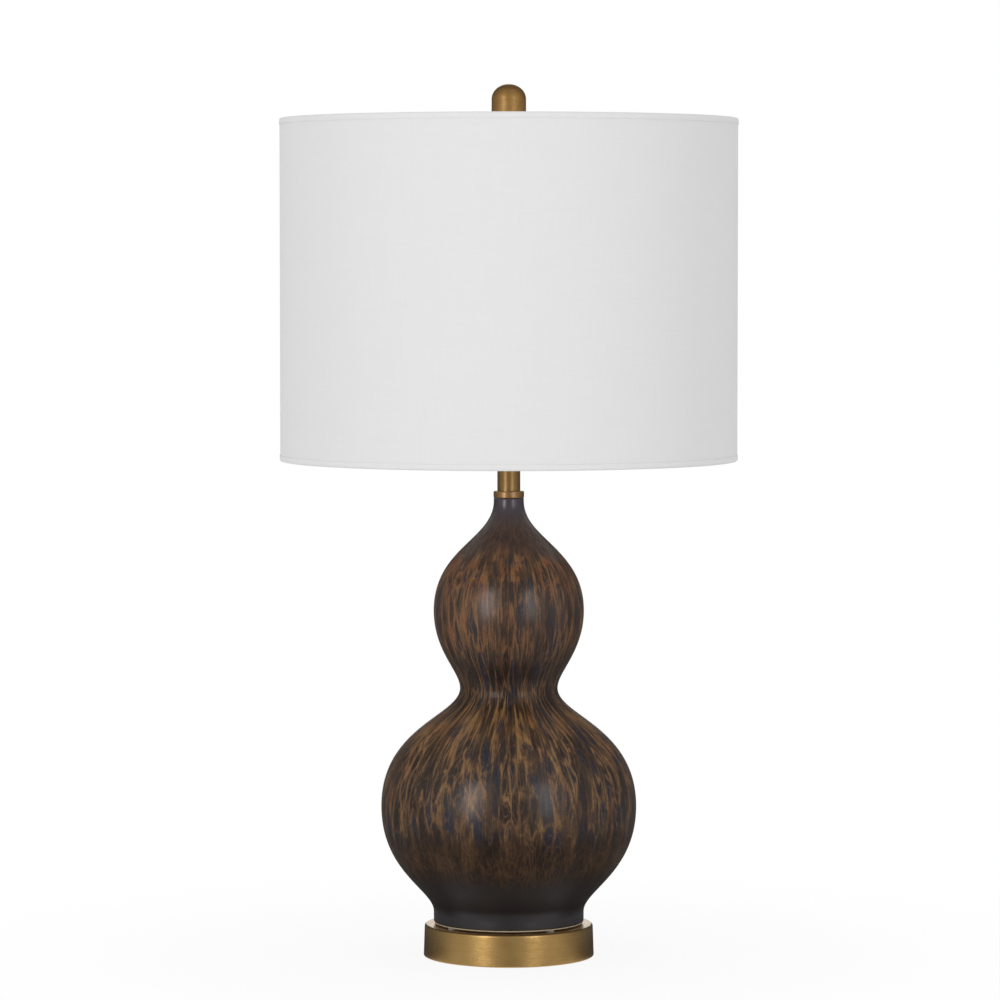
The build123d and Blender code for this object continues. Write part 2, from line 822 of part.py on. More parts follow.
# Shade: the cloth skin and the stiff liner behind it, both ending under the rolled trims
for name, radius, thickness in (
    ("shade_fabric", fabric_radius, fabric_thickness),
    ("shade_liner", shade_liner_radius, liner_thickness),
):
    with BuildPart() as skin:
        with BuildSketch(Plane.XY.offset(shade_bottom + skin_inset)):
            Circle(radius)
            Circle(radius - thickness, mode=Mode.SUBTRACT)
        extrude(amount=shade_height - 2 * skin_inset)
    save(skin, name)

# Spider: the shade's top ring, its arms and the washer that sits on the swivel
top_ring_level = shade_top - ring_inset
bottom_ring_level = shade_bottom + ring_inset
with BuildPart() as shade_spider:
    with BuildSketch(Plane.XZ):
        with Locations((ring_radius, top_ring_level)):
            Circle(ring_wire_radius)
    revolve(axis=Axis.Z)
    with BuildSketch(Plane.XY.offset(spider_washer_bottom)):
        Circle(spider_washer_radius)
    extrude(amount=spider_washer_thickness)
    for arm in range(spider_arm_count):
        angle = radians(spider_start_angle + arm * 360 / spider_arm_count)
        outward, sideways = (cos(angle), sin(angle), 0), (sin(angle), -cos(angle), 0)
        with BuildLine(Plane(origin=(0, 0, 0), x_dir=outward, z_dir=sideways)) as arm_line:
            FilletPolyline(
                (spider_washer_radius - 2 * spider_arm_radius, spider_arm_level),
                (ring_radius - spider_rise_run, spider_arm_level),
                (ring_radius, top_ring_level),
                radius=spider_bend,
            )
        with BuildSketch(Plane(origin=arm_line.line @ 0, z_dir=arm_line.line % 0)):
            Circle(spider_arm_radius)
        sweep(path=arm_line.line)
    with BuildSketch(Plane.XY.offset(spider_level)):
        Circle(stud_radius + spider_washer_clearance)
    extrude(amount=spider_washer_thickness, both=True, mode=Mode.SUBTRACT)
save(shade_spider, "shade_spider")

with BuildPart() as shade_bottom_ring:
    with BuildSketch(Plane.XZ):
        with Locations((ring_radius, bottom_ring_level)):
            Circle(ring_wire_radius)
    revolve(axis=Axis.Z)
save(shade_bottom_ring, "shade_bottom_ring")

# Trims: cloth tape rolled over each edge and ring, slit in the top one where the arms pass
skin_face = shade_radius - trim_thickness
ring_face = trim_bore + trim_thickness
for name, edge, inward in (
    ("shade_top_trim", shade_top, -1),
    ("shade_bottom_trim", shade_bottom, 1),
):
    floor_level = edge + inward * trim_thickness
    with BuildPart() as trim:
        with BuildSketch(Plane.XZ):
            with BuildLine():
                Polyline(
                    (shade_radius - trim_fold, edge),
                    (shade_radius, edge + inward * trim_fold),
                    (shade_radius, edge + inward * trim_outer_width),
                    (skin_face, edge + inward * trim_outer_width),
                    (skin_face, floor_level + inward * trim_inner_fold),
                    (skin_face - trim_inner_fold, floor_level),
                    (ring_face + trim_inner_fold, floor_level),
                    (ring_face, floor_level + inward * trim_inner_fold),
                    (ring_face, edge + inward * trim_inner_width),
                    (trim_bore, edge + inward * trim_inner_width),
                    (trim_bore, edge + inward * trim_fold),
                    (trim_bore + trim_fold, edge),
                    close=True,
                )
            make_face()
        revolve(axis=Axis.Z)
        if inward < 0:
            with BuildSketch(Plane.XY.offset(edge - trim_thickness)):
                with PolarLocations(trim_bore, spider_arm_count, start_angle=spider_start_angle):
                    Rectangle(4 * trim_thickness, 2 * (spider_arm_radius + loose_fit))
            extrude(amount=-trim_inner_width, mode=Mode.SUBTRACT)
    save(trim, name)

# Finial: a solid bullet, bored from below for the stud, whose dome is a quarter of an ellipse
with BuildPart() as finial:
    with BuildSketch(Plane.XZ):
        with BuildLine():
            Polyline(
                (0, finial_top),
                (0, finial_bottom + finial_bore_depth),
                (stud_radius + running_fit, finial_bottom + finial_bore_depth),
                (stud_radius + running_fit, finial_bottom),
                (finial_radius - finial_edge, finial_bottom),
                (finial_radius, finial_bottom + finial_edge),
                (finial_radius, finial_top - finial_dome),
            )
            Bezier(
                (finial_radius, finial_top - finial_dome),
                (finial_radius, finial_top),
                (0, finial_top),
                weights=[1, sqrt(0.5), 1],
            )
        make_face()
    revolve(axis=Axis.Z)
save(finial, "finial")
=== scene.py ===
import json
from math import cos, pi, radians, sin, sqrt

import bmesh
import bpy
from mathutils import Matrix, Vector, noise
from mathutils.geometry import interpolate_bezier


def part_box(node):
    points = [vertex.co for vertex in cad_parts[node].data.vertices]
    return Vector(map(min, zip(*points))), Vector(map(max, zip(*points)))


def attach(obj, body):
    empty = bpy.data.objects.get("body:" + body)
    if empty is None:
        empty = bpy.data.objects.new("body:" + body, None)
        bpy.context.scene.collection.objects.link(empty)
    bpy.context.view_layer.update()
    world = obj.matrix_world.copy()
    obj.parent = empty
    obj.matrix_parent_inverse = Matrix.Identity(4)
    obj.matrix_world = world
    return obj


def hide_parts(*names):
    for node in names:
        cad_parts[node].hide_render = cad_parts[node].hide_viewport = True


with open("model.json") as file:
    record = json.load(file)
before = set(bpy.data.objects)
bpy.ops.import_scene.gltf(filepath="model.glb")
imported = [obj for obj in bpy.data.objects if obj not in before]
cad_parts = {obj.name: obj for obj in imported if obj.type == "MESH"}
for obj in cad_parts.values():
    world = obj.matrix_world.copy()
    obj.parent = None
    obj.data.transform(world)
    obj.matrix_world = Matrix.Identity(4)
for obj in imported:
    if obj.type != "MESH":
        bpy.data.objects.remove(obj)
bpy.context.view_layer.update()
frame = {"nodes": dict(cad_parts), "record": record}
nodes = frame["nodes"]
mm = 0.001


# Camera: a long lens a little above the lamp, in line with where the photograph was taken
camera = dict(
    lens=164.27,
    sensor=36,
    place=(-0.0073, -3.78635, 0.58409),
    tilt=3.07,  # degrees down
    farthest=200,
)


def makeCamera(settings):
    data = bpy.data.cameras.new("camera")
    data.lens = settings["lens"]
    data.sensor_width = settings["sensor"]
    data.clip_end = settings["farthest"]
    shot = bpy.data.objects.new("camera", data)
    shot.location = settings["place"]
    shot.rotation_euler = (radians(90 - settings["tilt"]), 0, 0)
    bpy.context.scene.collection.objects.link(shot)
    bpy.context.scene.camera = shot


makeCamera(camera)
bpy.context.scene.view_settings.view_transform = "Standard"
print("camera ready")


# Small helpers for shader trees. A colour is written as it looks, 0 to 255.
def paint(red, green, blue):
    linear = [((c / 255 + 0.055) / 1.055) ** 2.4 if c > 10 else c / 255 / 12.92 for c in (red, green, blue)]
    return (*linear, 1)


def plug(tree, value, socket):
    if isinstance(value, bpy.types.NodeSocket):
        tree.links.new(value, socket)
    else:
        socket.default_value = value


def put(tree, kind, inputs=None, **settings):
    node = tree.nodes.new("ShaderNode" + kind)
    for name, value in settings.items():
        setattr(node, name, value)
    for name, value in (inputs or {}).items():
        plug(tree, value, node.inputs[name])
    return node


def place(tree, group, inputs):
    return put(tree, "Group", inputs, node_tree=group).outputs


def calc(tree, operation, a, b=0.0, clamp=False):
    return put(tree, "Math", {0: a, 1: b}, operation=operation, use_clamp=clamp).outputs[0]


def add(tree, a, b):
    return calc(tree, "ADD", a, b)


def times(tree, a, b, clamp=False):
    return calc(tree, "MULTIPLY", a, b, clamp)


def weigh(tree, a, weightA, b, weightB):
    return add(tree, times(tree, a, weightA), times(tree, b, weightB))


def invert(tree, value):
    return calc(tree, "SUBTRACT", 1.0, value)


def centred(tree, value, weight):
    return times(tree, calc(tree, "SUBTRACT", value, 0.5), weight)


def span(tree, value, low, high, toLow=0.0, toHigh=1.0):
    inputs = {"Value": value, "From Min": low, "From Max": high, "To Min": toLow, "To Max": toHigh}
    return put(tree, "MapRange", inputs, interpolation_type="SMOOTHSTEP").outputs[0]


def blendColors(tree, factor, a, b, mode="MIX"):
    return put(tree, "Mix", {0: factor, 6: a, 7: b}, data_type="RGBA", blend_type=mode).outputs[2]


def dimBy(tree, color, amount):
    grey = put(tree, "CombineColor", {0: amount, 1: amount, 2: amount}).outputs[0]
    return blendColors(tree, 1.0, color, grey, "MULTIPLY")


def cloudy(tree, vector, scale, detail, roughness):
    inputs = {"Vector": vector, "Scale": scale, "Detail": detail, "Roughness": roughness}
    return put(tree, "TexNoise", inputs).outputs[0]


# Ranges that hold nearly all values of a noise, and nearly all of a softer one
noiseRange = (0.3, 0.7)
softRange = (0.35, 0.65)


def bumped(tree, height, strength, relief):
    inputs = {"Height": height, "Strength": strength, "Distance": relief * mm}
    return put(tree, "Bump", inputs).outputs[0]


def colorRamp(tree, value, stops, interpolation):
    node = put(tree, "ValToRGB", {"Fac": value})
    node.color_ramp.interpolation = interpolation
    elements = node.color_ramp.elements
    while len(elements) < len(stops):
        elements.new(0.5)
    for element, (position, color) in zip(elements, stops):
        element.position = position
        element.color = color
    return node.outputs[0]


def tones(tree, value, stops):
    return colorRamp(tree, value, [(position, paint(*color)) for position, color in stops], "LINEAR")


def levels(tree, value, stops):
    return colorRamp(tree, value, [(position, (level, level, level, 1)) for position, level in stops], "EASE")


# A level read off a table of (value, level) stops on a scale that ends at top
def lookUp(tree, value, stops, top):
    return levels(tree, calc(tree, "DIVIDE", value, top), [(stop / top, level) for stop, level in stops])


def newGroup(name, inputs, outputs):
    group = bpy.data.node_groups.new(name, "ShaderNodeTree")
    for socketName, value in inputs.items():
        socket = group.interface.new_socket(socketName, in_out="INPUT", socket_type="NodeSocketFloat")
        socket.default_value = value
    for socketName, kind in outputs.items():
        group.interface.new_socket(socketName, in_out="OUTPUT", socket_type="NodeSocket" + kind)
    return group, group.nodes.new("NodeGroupInput").outputs, group.nodes.new("NodeGroupOutput").inputs


def newMaterial(name):
    material = bpy.data.materials.new(name)
    material.use_nodes = True
    tree = material.node_tree
    return material, tree, tree.nodes["Principled BSDF"]


def feed(tree, shader, **inputs):
    for name, value in inputs.items():
        plug(tree, value, shader.inputs[name.replace("_", " ")])


# Turned coordinates: a point's place round the lamp's axis, and its height
def makeTurned():
    inputs = {"Around": 1.0, "Along": 1.0, "Slope": 0.0}
    group, given, made = newGroup("turned", inputs, {"Vector": "Vector", "Height": "Float"})
    where = put(group, "TexCoord").outputs["Object"]
    height = put(group, "SeparateXYZ", {0: where}).outputs[2]
    flat = put(group, "VectorMath", {0: where, 1: (1, 1, 0)}, operation="MULTIPLY").outputs[0]
    radius = put(group, "VectorMath", {0: flat}, operation="LENGTH").outputs["Value"]
    unit = put(group, "VectorMath", {0: flat}, operation="NORMALIZE").outputs[0]
    around = put(group, "VectorMath", {0: unit, "Scale": given["Around"]}, operation="SCALE").outputs[0]
    climb = add(group, height, times(group, radius, given["Slope"]))
    along = put(group, "CombineXYZ", {2: times(group, climb, given["Along"])}).outputs[0]
    total = put(group, "VectorMath", {0: around, 1: along}, operation="ADD").outputs[0]
    plug(group, total, made["Vector"])
    plug(group, height, made["Height"])
    return group


turned = makeTurned()


# Fine lines left by a lathe or a brush, running round the axis
def makeBrushLines():
    inputs = {"Line Width": 0.3 * mm, "Line Length": 30 * mm, "Lines Per Radius": 1.0}
    group, given, made = newGroup("brushLines", inputs, {"Lines": "Float", "Mottle": "Float"})
    usualRadius = 0.05  # metres from the axis at which the lines have their stated length
    lengthwise = calc(group, "DIVIDE", usualRadius, given["Line Length"])
    widthwise = calc(group, "DIVIDE", 1.0, given["Line Width"])
    inputs = {"Around": lengthwise, "Along": widthwise, "Slope": given["Lines Per Radius"]}
    fine = place(group, turned, inputs)["Vector"]
    where = put(group, "TexCoord").outputs["Object"]
    plug(group, cloudy(group, fine, 1.0, 3.0, 0.7), made["Lines"])
    plug(group, cloudy(group, where, 70.0, 3.0, 0.55), made["Mottle"])
    return group


brushLines = makeBrushLines()


# Small pits and lumps of a cast, moulded, pressed or felted surface
def makeGrain():
    inputs = {"Size": 1 * mm, "Roughness": 0.5}
    group, given, made = newGroup("grain", inputs, {"Grain": "Float", "Mottle": "Float"})
    where = put(group, "TexCoord").outputs["Object"]
    scale = calc(group, "DIVIDE", 1.0, given["Size"])
    coarse = calc(group, "DIVIDE", scale, 12.0)
    plug(group, cloudy(group, where, scale, 4.0, given["Roughness"]), made["Grain"])
    plug(group, cloudy(group, where, coarse, 2.0, 0.5), made["Mottle"])
    return group


grain = makeGrain()


# Plain weave wrapped round the axis: threads round it and threads up it, one over the other
def makeWeave():
    inputs = {"Pitch": 0.4 * mm, "Radius": 0.19}
    group, given, made = newGroup("weave", inputs, {"Height": "Float", "Shade": "Float"})
    where = put(group, "TexCoord").outputs["Object"]
    parts = put(group, "SeparateXYZ", {0: where}).outputs
    bearing = calc(group, "ARCTAN2", parts[0], parts[1])
    count = calc(group, "DIVIDE", given["Radius"], given["Pitch"])
    across = times(group, bearing, calc(group, "ROUND", count))
    up = calc(group, "DIVIDE", parts[2], given["Pitch"])
    warp = calc(group, "SINE", times(group, across, pi))
    weft = calc(group, "SINE", times(group, up, pi))
    over = times(group, warp, weft)
    height = put(group, "Math", {0: over, 1: 0.5, 2: 0.5}, operation="MULTIPLY_ADD").outputs[0]
    # slubs: soft streaks along both sets of threads, by how often they change in a metre
    alongThread, acrossThread = 40.0, 1600.0
    slubs = []
    for around, upward in ((alongThread, acrossThread), (acrossThread, alongThread)):
        threads = place(group, turned, {"Around": inputs["Radius"] * around, "Along": upward})
        slubs.append(cloudy(group, threads["Vector"], 1.0, 2.0, 0.6))
    both = times(group, add(group, *slubs), 0.5)
    plug(group, height, made["Height"])
    plug(group, span(group, both, *noiseRange), made["Shade"])
    return group


weave = makeWeave()
print("node groups ready")


# Metals. Each finish is a colour between two tones, its gloss, and its brush lines in millimetres.
metals = {
    "antique_brass": dict(
        light=(205, 167, 103), dark=(181, 141, 79), roughness=0.3, lineWidth=0.3, lineLength=60, relief=0.02,
        lacquer=0.5,
    ),
    # the neck tube's and the collar's brass: darker, rougher copies of the base's brass, partly their own
    # duller finish and partly painted shade where they sit beneath the lampshade
    "shaded_drawn_brass": dict(
        light=(178, 143, 92), dark=(152, 119, 70), roughness=0.38, lineWidth=0.25, lineLength=30, relief=0.012,
        lacquer=0.2,
    ),
    "shaded_collar_brass": dict(
        light=(188, 148, 104), dark=(160, 122, 80), roughness=0.38, lineWidth=0.25, lineLength=30, relief=0.012,
        lacquer=0.2,
    ),
    "finial_brass": dict(
        light=(194, 151, 90), dark=(168, 128, 70), roughness=0.5, lineWidth=0.3, lineLength=20, relief=0.015,
        lacquer=0.3,
    ),
    "holder_brass": dict(
        light=(206, 176, 112), dark=(176, 146, 86), roughness=0.26, lineWidth=0.3, lineLength=30, relief=0.01,
        anisotropic=0.4,
    ),
    "ferrule_brass": dict(
        light=(196, 166, 106), dark=(170, 140, 84), roughness=0.28, lineWidth=0.25, lineLength=20, relief=0.01,
        anisotropic=0.3,
    ),
    "screw_brass": dict(
        light=(214, 186, 122), dark=(190, 158, 96), roughness=0.24, lineWidth=0.3, lineLength=20, relief=0.01,
        anisotropic=0.2,
    ),
    "plated_wire": dict(
        light=(204, 178, 126), dark=(178, 150, 100), roughness=0.25, lineWidth=0.5, lineLength=8, relief=0.008,
    ),
    "zinc_steel": dict(
        light=(200, 202, 200), dark=(168, 170, 170), roughness=0.36, lineWidth=0.4, lineLength=10, relief=0.01,
    ),
    "bulb_aluminium": dict(
        light=(214, 214, 214), dark=(190, 190, 192), roughness=0.3, lineWidth=0.3, lineLength=30, relief=0.01,
        anisotropic=0.3,
    ),
    "solder": dict(
        light=(186, 188, 190), dark=(150, 152, 156), roughness=0.32, lineWidth=1.0, lineLength=2, relief=0.02,
    ),
    "filament_wire": dict(
        light=(150, 150, 154), dark=(120, 120, 126), roughness=0.4, lineWidth=0.2, lineLength=1, relief=0.0,
    ),
}
glossWander = 0.04  # how far a finish's roughness moves to either side


def makeMetal(name, finish):
    material, tree, shader = newMaterial(name)
    inputs = {"Line Width": finish["lineWidth"] * mm, "Line Length": finish["lineLength"] * mm}
    marks = place(tree, brushLines, inputs)
    lines = span(tree, marks["Lines"], *noiseRange)
    mottle = span(tree, marks["Mottle"], *softRange)
    tone = weigh(tree, lines, 0.7, mottle, 0.3)
    rough = finish["roughness"]
    feed(
        tree, shader, Metallic=1.0,
        Base_Color=blendColors(tree, tone, paint(*finish["dark"]), paint(*finish["light"])),
        Roughness=span(tree, lines, 0.0, 1.0, rough + glossWander, rough - glossWander),
        Normal=bumped(tree, lines, 0.5, finish["relief"]),
        Anisotropic=finish.get("anisotropic", 0.0), Anisotropic_Rotation=0.25,
        Tangent=put(tree, "Tangent", direction_type="RADIAL", axis="Z").outputs[0],
        Coat_Weight=finish.get("lacquer", 0.0), Coat_Roughness=0.18,
    )
    return material


# Moulded, pressed, painted and felted finishes
solids = {
    "outlet_bush": dict(light=(34, 30, 28), dark=(22, 20, 19), roughness=0.45, size=0.6, relief=0.03),
    "black_phenolic": dict(light=(26, 25, 25), dark=(14, 14, 14), roughness=0.22, size=1.2, relief=0.01),
    "white_styrene": dict(light=(236, 236, 234), dark=(228, 228, 226), roughness=0.5, size=1.5, relief=0.02),
    "ring_coat": dict(light=(238, 238, 236), dark=(226, 226, 224), roughness=0.35, size=1.0, relief=0.02),
    "cover_board": dict(light=(142, 112, 84), dark=(104, 80, 58), roughness=0.85, size=1.4, relief=0.12),
    "insulating_fibre": dict(light=(120, 98, 76), dark=(94, 76, 58), roughness=0.7, size=0.8, relief=0.05),
    "black_felt": dict(light=(38, 38, 40), dark=(18, 18, 20), roughness=0.95, size=0.5, relief=0.5),
}


def makeSolid(name, finish):
    material, tree, shader = newMaterial(name)
    marks = place(tree, grain, {"Size": finish["size"] * mm})
    tone = span(tree, weigh(tree, marks["Grain"], 0.6, marks["Mottle"], 0.4), *softRange)
    rough = finish["roughness"]
    feed(
        tree, shader,
        Base_Color=blendColors(tree, tone, paint(*finish["dark"]), paint(*finish["light"])),
        Roughness=span(tree, marks["Mottle"], *noiseRange, rough - glossWander, rough + glossWander),
        Normal=bumped(tree, marks["Grain"], 0.6, finish["relief"]),
    )
    return material


# Glasses and the clear pads
glasses = {
    "frosted_glass": dict(color=(240, 240, 238), roughness=0.42, clear=0.55, ior=1.5, size=0.3, relief=0.01),
    "stem_glass": dict(color=(226, 232, 230), roughness=0.06, clear=1.0, ior=1.5, size=6.0, relief=0.02),
    "black_glass": dict(color=(20, 20, 22), roughness=0.12, clear=0.0, ior=1.5, size=3.0, relief=0.02),
    "clear_pad": dict(color=(224, 222, 214), roughness=0.3, clear=0.55, ior=1.4, size=2.0, relief=0.02),
}


def makeGlass(name, finish):
    material, tree, shader = newMaterial(name)
    marks = place(tree, grain, {"Size": finish["size"] * mm})
    darker = [c * 0.96 for c in finish["color"]]
    rough = finish["roughness"]
    feed(
        tree, shader, IOR=finish["ior"], Transmission_Weight=finish["clear"],
        Base_Color=blendColors(tree, marks["Mottle"], paint(*finish["color"]), paint(*darker)),
        Roughness=span(tree, marks["Mottle"], *noiseRange, rough * 0.9, rough * 1.1),
        Normal=bumped(tree, marks["Grain"], 0.4, finish["relief"]),
    )
    return material


# White cloth of the shade and its trims
clothLook = dict(
    light=(230, 230, 230), dark=(227, 227, 227), roughness=0.92, sheen=0.15,
    pitch=0.42,  # from thread to thread
    radius=0.19,  # of the shade, in metres
    relief=0.06,
)


def makeCloth(name, look):
    material, tree, shader = newMaterial(name)
    threads = place(tree, weave, {"Pitch": look["pitch"] * mm, "Radius": look["radius"]})
    feed(
        tree, shader, Roughness=look["roughness"], Specular_IOR_Level=0.2,
        Base_Color=blendColors(tree, threads["Shade"], paint(*look["dark"]), paint(*look["light"])),
        Normal=bumped(tree, threads["Height"], 0.5, look["relief"]),
        Sheen_Weight=look["sheen"], Sheen_Roughness=0.5,
    )
    return material


# Glaze: amber runs round dark cells over a brown ground, thinning into speckles above a dark foot, with a
# dark shoulder and a plum neck. Heights are in millimetres above the table.
glazeLook = dict(
    ground=[(0.3, (55, 41, 31)), (0.5, (71, 53, 39)), (0.7, (92, 68, 47))],
    dark=(39, 30, 27),
    blueBlack=(38, 39, 50),
    amber=[(0.3, (95, 69, 43)), (0.5, (116, 85, 53)), (0.72, (143, 108, 68))],
    rust=(132, 80, 46),
    upperAmber=(112, 76, 48),
    shoulder=[(0.38, (52, 39, 35)), (0.62, (84, 60, 45))],
    plum=(76, 66, 74),
    speckled=[(0.36, (36, 26, 20)), (0.5, (52, 37, 26)), (0.66, (70, 50, 33))],
    thread=(88, 64, 43),  # thin runs that hang into the speckles
    foot=(38, 32, 30),
    footSheen=(27, 21, 22),
    clay=(196, 182, 158),
    rimHeight=1.2,  # bare clay above the underside
    lustre=0.65,  # metallic lustre of the neck
    roughness=0.34,
    relief=0.14,
    # heights over which one part of the glaze gives way to the next
    bands=dict(
        footSheen=(38.0, 54.0), foot=(60.0, 84.0), hanging=(70.0, 90.0), speckled=(92.0, 114.0),
        raised=(96.0, 112.0), rusty=(200.0, 325.0), stripes=(225.0, 262.0), upperAmber=(225.0, 270.0),
        smooth=(325.0, 345.0), shoulder=(332.0, 347.0), lustre=(356.0, 374.0), plum=(358.0, 376.0),
    ),
    # values of a mask from none to full, and where two more follow, how much it gives at each end
    masks=dict(
        cell=(0.45, 1.0),  # from inside a dark cell to its edge
        blue=(0.45, 0.7),
        rust=(0.4, 0.7),
        runs=(0.02, 0.1),
        patchy=(0.34, 0.62, 0.15, 1.0),
        grit=(0.3, 0.7, 0.74, 1.24),
        thread=(0.0, 0.09),
        hanging=(0.42, 0.64, 0.0, 0.7),
    ),
    # marks in turned coordinates: how fast they change round the lamp and up it, noise scale, detail, roughness
    marks=dict(
        streaks=(85.0, 110.0, 0.4, 3.0, 0.6),
        fine=(85.0, 110.0, 1.2, 2.0, 0.6),
        fingers=(12.0, 2.0, 1.0, 3.0, 0.65),
        broad=(9.0, 9.0, 1.0, 1.0, 0.5),
        grit=(85.0, 420.0, 0.9, 3.0, 0.7),
        speckles=(85.0, 350.0, 0.5, 4.0, 0.75),
        clusters=(85.0, 350.0, 0.09, 2.0, 0.5),
        mottle=(30.0, 500.0, 0.35, 3.0, 0.65),
        peel=(85.0, 1000.0, 0.6, 2.0, 0.5),
    ),
    patches=(0.09, 2.0, 0.5),
    sway=[(0.07, 9.0), (0.32, 3.0)],  # noise scale and reach of the runs' lean and waver
    drip=22.0,  # how unevenly the runs end
    gather=5.0,  # how strongly the runs on the upper gourd gather into broad stripes
    cell=7.2,  # width of the dark cells
    cellReach=0.74,  # how far a dark cell fills its place
    fineCells=1.9,  # how many times smaller the cells between the finest runs are
    fineStrength=0.45,  # and how strong those runs are
    # from each height up, how far the pattern moves on in a millimetre: less draws the cells out taller
    stretch=[(0, 0.24), (160, 0.32), (202, 0.12), (272, 0.18)],
    # radius that the pattern is wrapped round: below the waist, above it and at the neck
    wrap=[(170, 85.0), (285, 66.0), (304, 66.0), (354, 44.0)],
    top=400.0,  # height at which the tables below end
    # how wide the amber runs are at each height, as a share of the cells between them
    width=[
        (94, 0.03), (110, 0.055), (140, 0.07), (160, 0.08), (180, 0.1), (200, 0.2), (214, 0.07),
        (245, 0.05), (268, 0.08), (290, 0.13), (318, 0.2), (332, 0.32), (340, 0.14),
    ],
    # how dark the cells are at each height, and how bright the whole ground: darker at the waist, under the
    # upper gourd and under the lower belly, lighter on the lower gourd's upper shoulder, partly the glaze's own
    # tone and partly painted shade and painted light
    depth=[(100, 0.9), (130, 0.85), (165, 0.8), (200, 0.7), (232, 0.95), (265, 0.75), (330, 0.65)],
    groundToneAndShade=[
        (90, 0.74), (100, 0.62), (118, 0.88), (140, 0.95), (180, 0.84), (198, 1.12), (215, 0.62),
        (245, 0.66), (268, 0.78), (300, 0.97),
    ],
    # how glossy it is at each height: most at the foot's edge and the neck, nearly matt over the speckles
    gloss=[
        (40, 0.9), (46, 0.05), (58, 0.12), (75, 0.03), (98, 0.05), (125, 0.36), (150, 0.5), (215, 0.3),
        (262, 0.35), (300, 0.62), (332, 0.35), (352, 0.4), (368, 1.0),
    ],
)


# Where the glaze's pattern lies, in millimetres: wrapped round the lamp, drawn out, leaning and wavering
def wrapGlaze(tree, look, unit, height):
    drawn, lastStretch = 0.0, 0.0
    for start, stretch in look["stretch"]:
        over = calc(tree, "MAXIMUM", calc(tree, "SUBTRACT", height, start), 0.0)
        drawn = add(tree, drawn, times(tree, over, stretch - lastStretch))
        lastStretch = stretch
    radius = look["wrap"][0][1]
    for (start, startRadius), (end, endRadius) in zip(look["wrap"], look["wrap"][1:]):
        radius = add(tree, radius, span(tree, height, start, end, 0.0, endRadius - startRadius))
    along = put(tree, "CombineXYZ", {2: drawn}).outputs[0]
    around = put(tree, "VectorMath", {0: unit, "Scale": radius}, operation="SCALE").outputs[0]
    straight = put(tree, "VectorMath", {0: around, 1: along}, operation="ADD").outputs[0]
    bent = straight
    for scale, sway in look["sway"]:
        waver = put(tree, "TexNoise", {"Vector": straight, "Scale": scale, "Detail": 1.0}).outputs["Color"]
        shift = put(tree, "VectorMath", {0: waver, 1: (0.5, 0.5, 0.5)}, operation="SUBTRACT").outputs[0]
        inputs = {0: shift, 1: (sway, sway, sway), 2: bent}
        bent = put(tree, "VectorMath", inputs, operation="MULTIPLY_ADD").outputs[0]
    return bent


